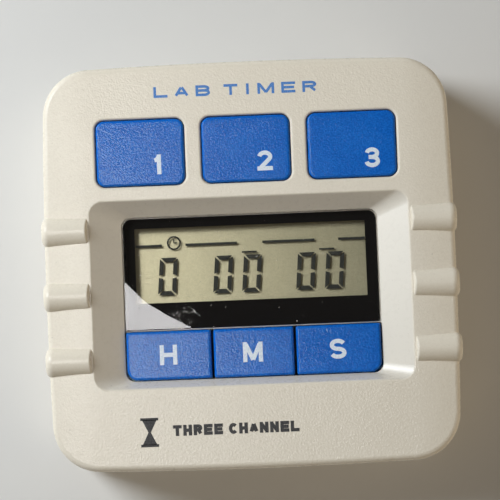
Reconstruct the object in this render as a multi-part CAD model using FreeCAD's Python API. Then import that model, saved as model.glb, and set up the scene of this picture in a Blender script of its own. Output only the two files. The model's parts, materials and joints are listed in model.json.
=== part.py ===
import FreeCAD, Part

# A three-channel laboratory bench timer, as the separate pieces that it is assembled from.
#
# Millimetres, +Z up. The timer lies on its back. The origin is the centre of the back face, +X is to the
# right of someone who reads the display, +Y is towards the top edge and +Z comes out of the display.
# The front case carries the recessed display, three channel keys above it and three time-setting keys
# below it. The rear cover carries the battery bay and its sliding door, the fold-out stand, the
# magnet and the sounder. Every piece is its own solid or group of solids in parts/NODE.step.

import math
import os

V = FreeCAD.Vector
EPS = 1.0                      # how far a cutter runs past the face that it opens

# ---- casing ------------------------------------------------------------------------------------------
BODY_W = 69.0                  # across the middle of the sides, without the grip ribs
BODY_H = 68.5
SIDE_CROWN_R = 845.0           # each side bows out slightly
CORNER_R = 8.0
FACE_Z = 18.0                  # flat middle of the front face
FACE_FLAT_X = 26.9             # the face is flat to here, then falls away to the sides
MARGIN_R = 46.0                # radius of that fall
FACE_EDGE_R = 1.0
BACK_EDGE_R = 2.0
PARTING_Z = 7.5
WALL = 1.6
CEILING_Z = 16.2               # inside of the front face
SKIN_Z = 1.8                   # inside of the back
LIP_T = 0.7
LIP_H = 1.0
LIP_GAP = 0.1

# ---- grip ribs ---------------------------------------------------------------------------------------
RIB_R = 2.6
RIB_AXIS_Z = 16.45
RIB_INNER_X = 27.15
RIB_OUTER_X = 34.9
RIB_END_R = 1.2
RIB_INNER_END_R = 0.3
RIB_END_LEAN = 0.3             # how far the inner end leans back between the face and the crest
RIB_FOOT_Z = 2.6
RIB_PITCH = 10.93
RIB_MIDDLE_Y = -4.4

# ---- display recess ----------------------------------------------------------------------------------
RECESS_X = 26.8
RECESS_TOP_Y = 11.3
RECESS_BOTTOM_Y = -20.3
RECESS_R = 2.2
RECESS_RIM_R = 0.5
KEY_RIM_R = 0.42
FLOOR_Z = 15.0
POCKET_X = 21.65
POCKET_TOP_Y = 8.7
POCKET_BOTTOM_Y = -19.0
POCKET_R = 1.6
TUB_Z = 12.2                   # underside of the recess tub
TUB_TOP_X = 28.1
TUB_TOP_Y = 12.6
TUB_LOW_X = 23.0
TUB_LOW_Y = 10.05
TUB_BOTTOM_Y = -20.1
LEDGE_Z = 13.55                # the window's seat
BAR_Y = (-10.5, -9.0)          # cross bar between the display and the lower keys

# ---- window and display ------------------------------------------------------------------------------
WINDOW_X = 21.5
WINDOW_Y = (-10.4, 8.55)
WINDOW_R = 1.5
WINDOW_Z = (13.7, 14.9)
FILM_INSET = 0.05
APERTURE_X = 19.5
APERTURE_Y = (-5.85, 6.85)
GLASS_X = 20.5
GLASS_TOP_Y = 7.7
FRONT_GLASS_Y = -8.7
REAR_GLASS_Y = -6.8
FILM_X = 20.1
FILM_Y = (-6.4, 7.4)
REFLECTOR_Z = (12.0, 12.15)
REAR_GLASS_Z = (12.15, 12.7)
FRONT_GLASS_Z = (12.7, 13.25)
POLARISER_Z = (13.25, 13.4)
HOLDER_X = 21.8
HOLDER_Y = (-9.6, 8.6)
ZEBRA_X = 18.6
ZEBRA_Y = (-8.5, -6.95)

# ---- keys --------------------------------------------------------------------------------------------
KEY_GAP = 0.15
CHANNEL_KEY_W = 15.1           # size of the opening
CHANNEL_KEY_H = 11.4
CHANNEL_KEY_R = 1.6
CHANNEL_PITCH = 17.8
CHANNEL_Y = 19.35
CHANNEL_TOP_Z = 18.05
SETTING_Y = (-18.85, -10.72)
SETTING_END_X = 21.4
SETTING_SPLIT_X = 6.95
SETTING_SPLIT_GAP = 0.4
SETTING_CORNER_R = 1.9
SETTING_INNER_R = 0.35
SETTING_TOP_Z = 15.5
KEY_EDGE_R = 0.45
KEY_WALL = 1.2
POST_R = 1.6
FLANGE_T = 0.8
FLANGE_OUT = 0.75
DOME_TOP_Z = 11.0
DOME_R = (3.6, 2.4)            # at its foot and at its top
DOME_SLOPE_H = 0.7
DOME_HOLLOW_R = (3.5, 1.9)
DOME_HOLLOW_H = 1.0
POST_Z = 11.05
PILL_R = 1.4
PAD_R = 2.2
UPPER_MAT = (26.4, (13.6, 25.6))
LOWER_MAT = (21.9, (-19.1, -10.2))

# ---- circuit board -----------------------------------------------------------------------------------
BOARD_Z = (8.0, 9.2)
BOARD_X = 31.5
BOARD_Y = (-19.4, 31.6)
BOARD_R = 2.0
BOARD_SCREWS = [(29.3, 2.0), (29.3, -16.6), (9.0, 29.3)]       # each is mirrored to -X
BOARD_SCREW_R = 0.78
BOARD_HEAD_R = 1.7
BOARD_BOSS_R = 2.2
BOARD_SCREW_TIP_Z = 14.0
MAT_WEB_Z = 9.9

# ---- parts under the circuit board ---------------------------------------------------------------------
CHIP = (-3.0, 6.0)
CHIP_R = 4.6
CHIP_H = 1.2
CHIP_EDGE_R = 1.1
CRYSTAL_END = (-17.0, 1.0)
CRYSTAL_L = 6.0
CRYSTAL_R = 1.05
LEAD_HALF = 0.15               # half the thickness of a wire lead
CHIP_ROWS = [(6.0, -8.0, 3), (6.0, 20.0, 3), (-16.0, 12.0, 3)]     # x, y and how many
CHIP_PITCH = 2.6
CHIP_SIZE = (1.6, 0.8, 0.6)
COIL = (13.0, 12.0)
COIL_R = 2.6
COIL_CORE_R = 1.9
COIL_H = 3.2
COIL_CHEEK_H = 0.7
WINDING_R = 2.45
CAPACITOR = (-12.0, 20.0)
CAPACITOR_R = 2.0
CAPACITOR_H = 3.6
TRANSISTOR_X = (5.0, 7.9)
TRANSISTOR_Y = (11.4, 12.7)
TRANSISTOR_LEG_L = 0.6

# ---- case screws -------------------------------------------------------------------------------------
CASE_SCREW = (29.0, 28.4)      # each corner
CASE_SCREW_R = 1.25
CASE_BOSS_R = 2.5
CASE_BOSS_Z = 4.7
CASE_WELL_R = 3.3
CASE_HEAD_R = 2.4
CASE_HEAD_Z = (1.2, 3.0)
COUNTERBORE_R = 2.6
CASE_SCREW_TOP_Z = 13.2

# ---- battery bay and door ----------------------------------------------------------------------------
CELL_R = 5.25
CELL_L = 44.5
CELL_Y = -26.3
CELL_Z = 6.65
CELL_PLUS_X = 24.9
BAY_X = 25.3
BAY_Y = (-31.65, -20.95)
BAY_Z = 12.0
BAY_WALL = 0.7
DOOR_X = 24.6
DOOR_TOP_Y = -21.1
DOOR_T = 1.2
DOOR_LIP_Z = 2.2
TONGUE_X = 25.5
TONGUE_Z = 1.35
TONGUE_Y = -22.0
DOOR_GAP = 0.2
CONTACT_T = 0.3

# ---- fold-out stand, magnet and sounder ---------------------------------------------------------------
STAND_X = 16.5
STAND_LEG_W = 4.9
STAND_FOOT_Y = -17.2
STAND_FOOT_H = 5.6
STAND_Z = (0.25, 2.15)
STAND_GAP = 0.4
HINGE_Y = 21.6
HINGE_Z = 1.6
BARREL_R = 1.35
PIN_R = 1.0
PIN_CLEARANCE = 0.05
PIN_END_X = 18.0
BLOCK_X = 18.3
BLOCK_Y = (-19.0, 25.2)
BLOCK_Z = 4.0
GROOVE_Z = 2.45
GROOVE_TOP_Y = 23.4
HINGE_POCKET_Z = 3.2
MAGNET_Y = 5.0
MAGNET_R = 9.0
MAGNET_Z = (0.15, 2.5)
SOUNDER_X = 25.6
SOUNDER_Y = 12.0
SOUNDER_R = 6.0
SOUNDER_SEAT_R = (5.3, 6.8)
SOUNDER_Z = 2.6
SOUND_HOLE_RINGS = ((2.2, 6), (4.2, 10))       # radius of the ring and how many holes
CERAMIC_R = 4.0
PLATE_T = 0.2
SPRING_GAP = 0.25
LABEL_X = (-31.4, -20.0)
LABEL_Y = (1.0, 22.0)
LABEL_R = 0.8
LABEL_GAP = 0.15
LABEL_Z = (0.08, 0.2)


# ---- helpers -----------------------------------------------------------------------------------------
def box(x, y, z):
    """A box from three (low, high) pairs."""
    size = [high - low for low, high in (x, y, z)]
    return Part.makeBox(*size, V(x[0], y[0], z[0]))


def both(half):
    """The (low, high) pair of something centred on zero."""
    return (-half, half)


def disc(radius, x, y, z):
    return Part.makeCylinder(radius, z[1] - z[0], V(x, y, z[0]))


def prism(wire, z):
    """Extrudes a closed wire, drawn at height zero, from z[0] to z[1]."""
    solid = Part.Face(wire).extrude(V(0, 0, z[1] - z[0]))
    solid.translate(V(0, 0, z[0]))
    return solid


def at_height(wire, z):
    moved = wire.copy()
    moved.translate(V(0, 0, z))
    return moved


def rounded_rect(x, y, radius):
    """A closed wire; radius is one number, or four for the corners in the order
    low-left, low-right, high-right, high-left."""
    radii = radius if isinstance(radius, tuple) else (radius,) * 4
    corners = [(x[0], y[0], 1, 1), (x[1], y[0], -1, 1), (x[1], y[1], -1, -1), (x[0], y[1], 1, -1)]
    arcs = []
    for (cx, cy, sx, sy), r in zip(corners, radii):
        centre = V(cx + sx * r, cy + sy * r, 0)
        along_y = centre + V(-sx * r, 0, 0)
        along_x = centre + V(0, -sy * r, 0)
        middle = centre + V(-sx, -sy, 0) * (r * math.sqrt(0.5))
        first, last = (along_y, along_x) if sx == sy else (along_x, along_y)
        arcs.append((first, middle, last))
    edges = []
    for here, after in zip(arcs, arcs[1:] + arcs[:1]):
        edges.append(Part.Arc(*here).toShape())
        edges.append(Part.LineSegment(here[2], after[0]).toShape())
    return Part.Wire(edges)


def corner_centre():
    """Centre of the corner arc that is tangent to the bowed right and top sides."""
    reach = SIDE_CROWN_R - CORNER_R
    x, y = BODY_W / 2 - CORNER_R, BODY_H / 2 - CORNER_R
    for _ in range(20):
        x = BODY_W / 2 - SIDE_CROWN_R + math.sqrt(reach ** 2 - y ** 2)
        y = BODY_H / 2 - SIDE_CROWN_R + math.sqrt(reach ** 2 - x ** 2)
    return V(x, y, 0)


def case_outline(inset):
    """The case's plan outline, moved inwards by inset: four bowed sides and four round corners."""
    corner = corner_centre()
    side_centre = V(BODY_W / 2 - SIDE_CROWN_R, 0, 0)
    top_centre = V(0, BODY_H / 2 - SIDE_CROWN_R, 0)
    to_side = (corner - side_centre).normalize()
    to_top = (corner - top_centre).normalize()
    side_end = corner + to_side * (CORNER_R - inset)
    top_end = corner + to_top * (CORNER_R - inset)
    corner_mid = corner + (to_side + to_top).normalize() * (CORNER_R - inset)
    half_w, half_h = BODY_W / 2 - inset, BODY_H / 2 - inset

    def turned(point, sx, sy):
        return V(point.x * sx, point.y * sy, 0)

    arcs = [
        (turned(side_end, 1, -1), V(half_w, 0, 0), turned(side_end, 1, 1)),
        (turned(side_end, 1, 1), turned(corner_mid, 1, 1), turned(top_end, 1, 1)),
        (turned(top_end, 1, 1), V(0, half_h, 0), turned(top_end, -1, 1)),
        (turned(top_end, -1, 1), turned(corner_mid, -1, 1), turned(side_end, -1, 1)),
        (turned(side_end, -1, 1), V(-half_w, 0, 0), turned(side_end, -1, -1)),
        (turned(side_end, -1, -1), turned(corner_mid, -1, -1), turned(top_end, -1, -1)),
        (turned(top_end, -1, -1), V(0, -half_h, 0), turned(top_end, 1, -1)),
        (turned(top_end, 1, -1), turned(corner_mid, 1, -1), turned(side_end, 1, -1)),
    ]
    return Part.Wire([Part.Arc(*arc).toShape() for arc in arcs])


def frustum(low_wire, low_z, high_wire, high_z):
    return Part.makeLoft([at_height(low_wire, low_z), at_height(high_wire, high_z)], True, True)


def edges_at(shape, z, x, y, tolerance=0.01):
    """The edges that lie in the plane z, inside the given x and y ranges."""
    found = []
    for edge in shape.Edges:
        b = edge.BoundBox
        level = abs(b.ZMin - z) < tolerance and abs(b.ZMax - z) < tolerance
        inside = x[0] < b.XMin and b.XMax < x[1] and y[0] < b.YMin and b.YMax < y[1]
        if level and inside:
            found.append(edge)
    return found


def four_corners(x, y):
    return [(sx * x, sy * y) for sx in (-1, 1) for sy in (-1, 1)]


def board_screw_places():
    return [(side * x, y) for x, y in BOARD_SCREWS for side in (-1, 1)]


def rib_places():
    """(which side, y) of the six grip ribs."""
    return [(side, RIB_MIDDLE_Y + row * RIB_PITCH) for side in (-1, 1) for row in (1, 0, -1)]


def mirrored(shape, side):
    return shape if side > 0 else shape.mirror(V(0, 0, 0), V(1, 0, 0))


def save(name, *solids):
    """Writes one node, as one solid or as a group of separate solids."""
    shape = solids[0] if len(solids) == 1 else Part.Compound(list(solids))
    for solid in shape.Solids:
        if not solid.isValid() or solid.Volume <= 0:
            raise RuntimeError(name + " has a solid that is not valid")
    if not shape.Solids:
        raise RuntimeError(name + " holds no solid")
    shape.exportStep(os.path.join("parts", name + ".step"))
    print(f"{name:26s} {len(shape.Solids):2d} solids {shape.Volume:10.2f} mm3")


# ---- casing ------------------------------------------------------------------------------------------
def face_profile():
    """A tall block under the front face: flat in the middle, falling away along both sides."""
    reach = BODY_W / 2 + EPS
    drop = MARGIN_R - math.sqrt(MARGIN_R ** 2 - (reach - FACE_FLAT_X) ** 2)
    mid_x = (reach + FACE_FLAT_X) / 2
    mid_drop = MARGIN_R - math.sqrt(MARGIN_R ** 2 - (mid_x - FACE_FLAT_X) ** 2)
    y = -BODY_H / 2 - EPS
    foot = PARTING_Z - EPS
    low = FACE_Z - drop

    def point(x, z):
        return V(x, y, z)

    edges = [
        Part.LineSegment(point(-reach, foot), point(reach, foot)),
        Part.LineSegment(point(reach, foot), point(reach, low)),
        Part.Arc(point(reach, low), point(mid_x, FACE_Z - mid_drop), point(FACE_FLAT_X, FACE_Z)),
        Part.LineSegment(point(FACE_FLAT_X, FACE_Z), point(-FACE_FLAT_X, FACE_Z)),
        Part.Arc(point(-FACE_FLAT_X, FACE_Z), point(-mid_x, FACE_Z - mid_drop), point(-reach, low)),
        Part.LineSegment(point(-reach, low), point(-reach, foot)),
    ]
    face = Part.Face(Part.Wire([edge.toShape() for edge in edges]))
    return face.extrude(V(0, BODY_H + 2 * EPS, 0))


def front_block():
    """The front case's outside as a solid block, with its edge rounded."""
    block = prism(case_outline(0), (PARTING_Z, FACE_Z + EPS)).common(face_profile())
    rim = []
    for edge in block.Edges:
        middle = edge.BoundBox.Center
        on_rim = abs(middle.x) > FACE_FLAT_X + 1 or abs(middle.y) > BODY_H / 2 - 2
        if edge.BoundBox.ZMin > CEILING_Z and on_rim:
            rim.append(edge)
    return block.makeFillet(FACE_EDGE_R, rim)


def rib_plan():
    return rounded_rect((RIB_INNER_X, RIB_OUTER_X), both(RIB_R), (0.01, RIB_END_R, RIB_END_R, 0.01))


def front_rib():
    """A grip rib: half round on the face, running over the edge and down the side."""
    length = RIB_OUTER_X - RIB_INNER_X
    crest = Part.makeCylinder(RIB_R, length, V(RIB_INNER_X, 0, RIB_AXIS_Z), V(1, 0, 0))
    outer_end = [e for e in crest.Edges if e.BoundBox.XMin > RIB_OUTER_X - 0.01]
    crest = crest.makeFillet(RIB_END_R, outer_end)
    crest = crest.cut(rib_end_wedge())
    inner_end = [e for e in crest.Edges if e.BoundBox.XMax < RIB_INNER_X + RIB_END_LEAN + 0.01]
    crest = crest.makeFillet(RIB_INNER_END_R, inner_end)
    x = (RIB_INNER_X - EPS, RIB_OUTER_X + EPS)
    upper_half = box(x, both(RIB_R + EPS), (RIB_AXIS_Z, FACE_Z + EPS * 2))
    return crest.common(upper_half).fuse(prism(rib_plan(), (PARTING_Z, RIB_AXIS_Z)))


def rib_end_wedge():
    """What is cut off a rib's inner end, so that the end leans back like the recess wall below it."""
    low, high = FACE_Z - 0.6, RIB_AXIS_Z + RIB_R + EPS
    lean = RIB_END_LEAN / (RIB_AXIS_Z + RIB_R - FACE_Z)
    y = -RIB_R - EPS
    foot_x = RIB_INNER_X + lean * (low - FACE_Z)
    head_x = RIB_INNER_X + lean * (high - FACE_Z)
    back_x = RIB_INNER_X - 2 * EPS
    corners = [V(foot_x, y, low), V(head_x, y, high), V(back_x, y, high), V(back_x, y, low)]
    outline = Part.makePolygon(corners + corners[:1])
    return Part.Face(outline).extrude(V(0, 2 * (RIB_R + EPS), 0))


def rear_rib():
    rib = prism(rib_plan(), (RIB_FOOT_Z, PARTING_Z))
    low = [e for e in rib.Edges if e.BoundBox.ZMax < RIB_FOOT_Z + 0.01]
    foot = [e for e in low if e.BoundBox.XMax > RIB_INNER_X + 1]
    return rib.makeChamfer(0.35, foot)


def recess_cutter():
    floor = rounded_rect(both(POCKET_X), (POCKET_BOTTOM_Y, POCKET_TOP_Y), POCKET_R)
    mouth = rounded_rect(both(RECESS_X), (RECESS_BOTTOM_Y, RECESS_TOP_Y), RECESS_R)
    return frustum(floor, FLOOR_Z, mouth, FACE_Z)


def tub_block():
    """What stays solid inside the case around the display recess."""
    low = rounded_rect(both(TUB_LOW_X), (TUB_BOTTOM_Y, TUB_LOW_Y), POCKET_R)
    high = rounded_rect(both(TUB_TOP_X), (TUB_BOTTOM_Y, TUB_TOP_Y), RECESS_R)
    return frustum(low, TUB_Z, high, CEILING_Z)


def channel_key_opening(x):
    return rounded_rect(
        (x - CHANNEL_KEY_W / 2, x + CHANNEL_KEY_W / 2),
        (CHANNEL_Y - CHANNEL_KEY_H / 2, CHANNEL_Y + CHANNEL_KEY_H / 2),
        CHANNEL_KEY_R,
    )


def channel_xs():
    return [column * CHANNEL_PITCH for column in (-1, 0, 1)]


def front_case():
    case = front_block().cut(recess_cutter())
    rim = edges_at(case, FACE_Z, both(RECESS_X + 0.5), (RECESS_BOTTOM_Y - 0.5, RECESS_TOP_Y + 0.5))
    case = case.makeFillet(RECESS_RIM_R, rim)
    for x in channel_xs():
        case = case.cut(prism(channel_key_opening(x), (CEILING_Z - EPS, FACE_Z + EPS)))
    key_zone = (RECESS_TOP_Y + 1, CHANNEL_Y + CHANNEL_KEY_H / 2 + 0.5)
    key_rims = edges_at(case, FACE_Z, both(FACE_FLAT_X - 0.1), key_zone)
    case = case.makeFillet(KEY_RIM_R, key_rims)
    rib = front_rib()
    for side, y in rib_places():
        case = case.fuse(mirrored(rib, side).translated(V(0, y, 0)))
    cavity = prism(case_outline(WALL), (PARTING_Z - EPS, CEILING_Z)).cut(tub_block())
    case = case.cut(cavity)
    rebate = prism(case_outline(WALL - LIP_T - LIP_GAP), (PARTING_Z - EPS, PARTING_Z + LIP_H + LIP_GAP))
    case = case.cut(rebate)
    case = case.fuse(front_bosses())
    return case.cut(front_openings()).removeSplitter()


def front_bosses():
    """Pillars for the board screws and the case screws, with their pilot holes."""
    posts = []
    for x, y in board_screw_places():
        post = disc(BOARD_BOSS_R, x, y, (BOARD_Z[1], CEILING_Z + 0.2))
        posts.append(post.cut(disc(BOARD_SCREW_R, x, y, (BOARD_Z[1] - EPS, 14.4))))
    for x, y in four_corners(*CASE_SCREW):
        post = disc(CASE_BOSS_R, x, y, (CASE_BOSS_Z, CEILING_Z + 0.2))
        posts.append(post.cut(disc(CASE_SCREW_R, x, y, (CASE_BOSS_Z - EPS, CASE_SCREW_TOP_Z + 0.6))))
    return posts


def front_openings():
    """The pocket that takes the window and lower keys, and what goes on through below it."""
    pocket = rounded_rect(both(POCKET_X), (POCKET_BOTTOM_Y, POCKET_TOP_Y), POCKET_R)
    display = rounded_rect(both(GLASS_X + 0.4), (BAR_Y[1], GLASS_TOP_Y + 0.25), 0.4)
    keys = rounded_rect(both(POCKET_X), (POCKET_BOTTOM_Y, BAR_Y[0]), (POCKET_R, POCKET_R, 0.3, 0.3))
    return [
        prism(pocket, (LEDGE_Z, FLOOR_Z)),
        prism(display, (TUB_Z - EPS, LEDGE_Z)),
        prism(keys, (TUB_Z - EPS, LEDGE_Z)),
    ]


def rear_block():
    block = prism(case_outline(0), (0, PARTING_Z))
    rim = [e for e in block.Edges if e.BoundBox.ZMax < 0.01]
    return block.makeFillet(BACK_EDGE_R, rim)


def bay_shell():
    """The battery trough's walls and roof, standing on the back."""
    y = (BAY_Y[0] - BAY_WALL, BAY_Y[1] + BAY_WALL)
    z = (SKIN_Z - 0.2, BAY_Z + BAY_WALL)
    outer = box(both(BAY_X + BAY_WALL), y, z)
    roof_edges = [e for e in outer.Edges if e.BoundBox.ZMin > BAY_Z]
    return outer.makeFillet(0.6, roof_edges).common(prism(case_outline(WALL + 0.15), z))


def bay_cavity():
    """The free space round the cell: a box below its axis, and a half-round roof above it."""
    return box(both(BAY_X), BAY_Y, (DOOR_T + 0.1, BAY_Z))


def door_opening():
    low = -BODY_H / 2 - EPS
    plate = box(both(DOOR_X + DOOR_GAP), (low, DOOR_TOP_Y + DOOR_GAP), (-EPS, DOOR_LIP_Z + DOOR_GAP))
    slot_z = (TONGUE_Z - 0.15, DOOR_LIP_Z + DOOR_GAP)
    return plate.fuse(box(both(TONGUE_X + DOOR_GAP), (low, TONGUE_Y + DOOR_GAP), slot_z))


def stand_groove():
    """The U-shaped groove that the folded stand lies in, deeper along its hinge."""
    outer_x = STAND_X + STAND_GAP
    island_x = STAND_X - STAND_LEG_W - STAND_GAP
    island_y = STAND_FOOT_Y + STAND_FOOT_H + STAND_GAP
    outer = rounded_rect(both(outer_x), (STAND_FOOT_Y - STAND_GAP, GROOVE_TOP_Y), (3.4, 3.4, 0.5, 0.5))
    island = rounded_rect(both(island_x), (island_y, GROOVE_TOP_Y + EPS), (2.0, 2.0, 0.2, 0.2))
    hinge = box(both(outer_x), (HINGE_Y - BARREL_R - 0.6, GROOVE_TOP_Y), (-EPS, HINGE_POCKET_Z))
    keep = prism(island, (-2 * EPS, BLOCK_Z))
    return prism(outer, (-EPS, GROOVE_Z)).fuse(hinge).cut(keep)


def nail_scoop():
    """A dished hollow beside the stand's foot, for a fingernail."""
    ball = Part.makeSphere(6.0, V(0, STAND_FOOT_Y + 1.6, -3.6))
    return ball.common(box(both(8), (-19.6, STAND_FOOT_Y + 1), (-EPS, SKIN_Z)))


def rear_cover():
    cover = rear_block()
    rib = rear_rib()
    for side, y in rib_places():
        cover = cover.fuse(mirrored(rib, side).translated(V(0, y, 0)))
    cover = cover.cut(prism(case_outline(WALL), (SKIN_Z, PARTING_Z + EPS)))
    lip_outer = prism(case_outline(WALL - LIP_T), (PARTING_Z - EPS, PARTING_Z + LIP_H))
    lip = lip_outer.cut(prism(case_outline(WALL), (PARTING_Z - 2 * EPS, PARTING_Z + 2 * EPS)))
    cover = cover.fuse(lip)
    cover = cover.fuse(box(both(BLOCK_X), BLOCK_Y, (SKIN_Z - 0.2, BLOCK_Z)))
    cover = cover.fuse(bay_shell())
    for x, y in four_corners(*CASE_SCREW):
        cover = cover.fuse(disc(CASE_WELL_R, x, y, (SKIN_Z - 0.2, CASE_BOSS_Z - 0.1)))
    inner_r, outer_r = SOUNDER_SEAT_R
    seat = disc(outer_r, SOUNDER_X, SOUNDER_Y, (SKIN_Z - 0.2, SOUNDER_Z + 0.5))
    seat = seat.cut(disc(SOUNDER_R + 0.1, SOUNDER_X, SOUNDER_Y, (SOUNDER_Z, SOUNDER_Z + EPS)))
    cover = cover.fuse(seat.cut(disc(inner_r, SOUNDER_X, SOUNDER_Y, (0, SOUNDER_Z + EPS))))
    return cover.cut(rear_openings()).removeSplitter()


def sound_holes():
    holes = [disc(0.8, SOUNDER_X, SOUNDER_Y, (-EPS, SKIN_Z + EPS))]
    for radius, count in SOUND_HOLE_RINGS:
        for n in range(count):
            turn = 2 * math.pi * n / count
            x, y = SOUNDER_X + radius * math.cos(turn), SOUNDER_Y + radius * math.sin(turn)
            holes.append(disc(0.6, x, y, (-EPS, SKIN_Z + EPS)))
    return holes


def rear_openings():
    cuts = [bay_cavity(), door_opening(), stand_groove(), nail_scoop()]
    reach = BLOCK_X + EPS
    start = V(-reach, HINGE_Y, HINGE_Z)
    pin_hole = Part.makeCylinder(PIN_R + PIN_CLEARANCE, 2 * reach, start, V(1, 0, 0))
    island_x = STAND_X - STAND_LEG_W - STAND_GAP
    island = box(both(island_x + 0.01), (HINGE_Y - 3, HINGE_Y + 3), (-EPS, BLOCK_Z + EPS))
    cuts.append(pin_hole.cut(island))
    cuts.append(disc(MAGNET_R + 0.1, 0, MAGNET_Y, (-EPS, MAGNET_Z[1] + 0.1)))
    for x, y in four_corners(*CASE_SCREW):
        cuts.append(disc(COUNTERBORE_R, x, y, (-EPS, CASE_HEAD_Z[1])))
        cuts.append(disc(CASE_SCREW_R + 0.25, x, y, (0, CASE_BOSS_Z + EPS)))
    cuts.extend(sound_holes())
    label_x = (LABEL_X[0] - LABEL_GAP, LABEL_X[1] + LABEL_GAP)
    label_y = (LABEL_Y[0] - LABEL_GAP, LABEL_Y[1] + LABEL_GAP)
    cuts.append(prism(rounded_rect(label_x, label_y, LABEL_R), (-EPS, LABEL_Z[1])))
    for side in (-1, 1):
        x = sorted((side * (BAY_X + 0.02), side * (BAY_X - 0.7)))
        cuts.append(box(x, (BAY_Y[1] - 0.1, BAY_Y[1] + BAY_WALL + 0.2), (BOARD_Z[1] - 0.1, 11.7)))
    return cuts


# ---- window and display ------------------------------------------------------------------------------
def window():
    outline = rounded_rect(both(WINDOW_X), WINDOW_Y, (0.3, 0.3, WINDOW_R, WINDOW_R))
    pane = prism(outline, WINDOW_Z)
    top = [e for e in pane.Edges if e.BoundBox.ZMin > WINDOW_Z[1] - 0.01]
    return pane.makeFillet(0.12, top)


def window_mask():
    """The black bonding film behind the window, which frames the display."""
    y = (WINDOW_Y[0] + FILM_INSET, WINDOW_Y[1] - FILM_INSET)
    round_r = WINDOW_R - FILM_INSET
    outline = rounded_rect(both(WINDOW_X - FILM_INSET), y, (0.3, 0.3, round_r, round_r))
    film = prism(outline, (LEDGE_Z, WINDOW_Z[0]))
    hole = rounded_rect(both(APERTURE_X), APERTURE_Y, 0.15)
    return film.cut(prism(hole, (LEDGE_Z - EPS, WINDOW_Z[0] + EPS)))


def display_pieces():
    """The liquid crystal cell: two glass plates between a polariser and a reflector."""
    film = rounded_rect(both(FILM_X), FILM_Y, 0.2)
    return {
        "lcd_polariser": prism(film, POLARISER_Z),
        "lcd_front_glass": box(both(GLASS_X), (FRONT_GLASS_Y, GLASS_TOP_Y), FRONT_GLASS_Z),
        "lcd_rear_glass": box(both(GLASS_X), (REAR_GLASS_Y, GLASS_TOP_Y), REAR_GLASS_Z),
        "lcd_reflector": prism(film, REFLECTOR_Z),
    }


def lcd_holder():
    frame = prism(rounded_rect(both(HOLDER_X), HOLDER_Y, 0.8), (BOARD_Z[1], TUB_Z - 0.05))
    seat = box(both(GLASS_X + 0.1), (FRONT_GLASS_Y - 0.1, GLASS_TOP_Y + 0.1), (REFLECTOR_Z[0], TUB_Z))
    hollow = box(both(FILM_X - 1.2), (FILM_Y[0] + 0.6, FILM_Y[1] - 0.6), (0, TUB_Z))
    slot = box(both(ZEBRA_X + 0.05), (ZEBRA_Y[0] - 0.05, ZEBRA_Y[1] + 0.05), (0, TUB_Z))
    return frame.cut([seat, hollow, slot])


def zebra_strip():
    return box(both(ZEBRA_X), ZEBRA_Y, (BOARD_Z[1], FRONT_GLASS_Z[0]))


# ---- keys --------------------------------------------------------------------------------------------
def key_cap(plan, inner_plan, flange, top_z, flange_z):
    """A hollow key with a stop flange below the case wall and a post that bears on the rubber dome."""
    cap = prism(plan, (flange_z, top_z))
    top = [e for e in cap.Edges if e.BoundBox.ZMin > top_z - 0.01]
    cap = cap.makeFillet(KEY_EDGE_R, top)
    cap = cap.fuse(prism(flange, (flange_z, flange_z + FLANGE_T)))
    cap = cap.cut(prism(inner_plan, (flange_z - EPS, top_z - KEY_WALL)))
    b = cap.BoundBox
    post = disc(POST_R, (b.XMin + b.XMax) / 2, (b.YMin + b.YMax) / 2, (POST_Z, top_z - KEY_WALL + 0.1))
    return cap.fuse(post)


def channel_key(x):
    half_w, half_h = CHANNEL_KEY_W / 2 - KEY_GAP, CHANNEL_KEY_H / 2 - KEY_GAP

    def plan(grow, radius):
        x_pair = (x - half_w - grow, x + half_w + grow)
        return rounded_rect(x_pair, (CHANNEL_Y - half_h - grow, CHANNEL_Y + half_h + grow), radius)

    flange_z = CEILING_Z - 0.05 - FLANGE_T
    cap_plan = plan(0, CHANNEL_KEY_R - KEY_GAP)
    return key_cap(cap_plan, plan(-KEY_WALL, 0.6), plan(FLANGE_OUT, 1.2), CHANNEL_TOP_Z, flange_z)


def setting_key_spans():
    """x range of the hours, minutes and seconds keys."""
    half_gap = SETTING_SPLIT_GAP / 2
    inner, outer = SETTING_SPLIT_X - half_gap, SETTING_SPLIT_X + half_gap
    return [(-SETTING_END_X, -outer), (-inner, inner), (outer, SETTING_END_X)]


def setting_key(span):
    at_left, at_right = span[0] < -SETTING_SPLIT_X, span[1] > SETTING_SPLIT_X
    radii = (
        SETTING_CORNER_R if at_left else SETTING_INNER_R,
        SETTING_CORNER_R if at_right else SETTING_INNER_R,
        SETTING_INNER_R,
        SETTING_INNER_R,
    )
    inner_x = (span[0] + KEY_WALL, span[1] - KEY_WALL)
    inner_y = (SETTING_Y[0] + KEY_WALL, SETTING_Y[1] - KEY_WALL)
    flange_x = (span[0] - (FLANGE_OUT if at_left else 0), span[1] + (FLANGE_OUT if at_right else 0))
    flange_y = (SETTING_Y[0] - 0.6, SETTING_Y[1] + 0.72)
    flange_z = TUB_Z - 0.05 - FLANGE_T
    return key_cap(
        rounded_rect(span, SETTING_Y, radii),
        rounded_rect(inner_x, inner_y, 0.6),
        rounded_rect(flange_x, flange_y, 0.3),
        SETTING_TOP_Z,
        flange_z,
    )


def dome_places():
    channel = [(x, CHANNEL_Y) for x in channel_xs()]
    middle_y = sum(SETTING_Y) / 2 + 0.06
    lower = []
    for span in setting_key_spans():
        grow_left = FLANGE_OUT if span[0] < -SETTING_SPLIT_X else 0
        grow_right = FLANGE_OUT if span[1] > SETTING_SPLIT_X else 0
        lower.append(((span[0] - grow_left + span[1] + grow_right) / 2, middle_y))
    return channel, lower


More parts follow.
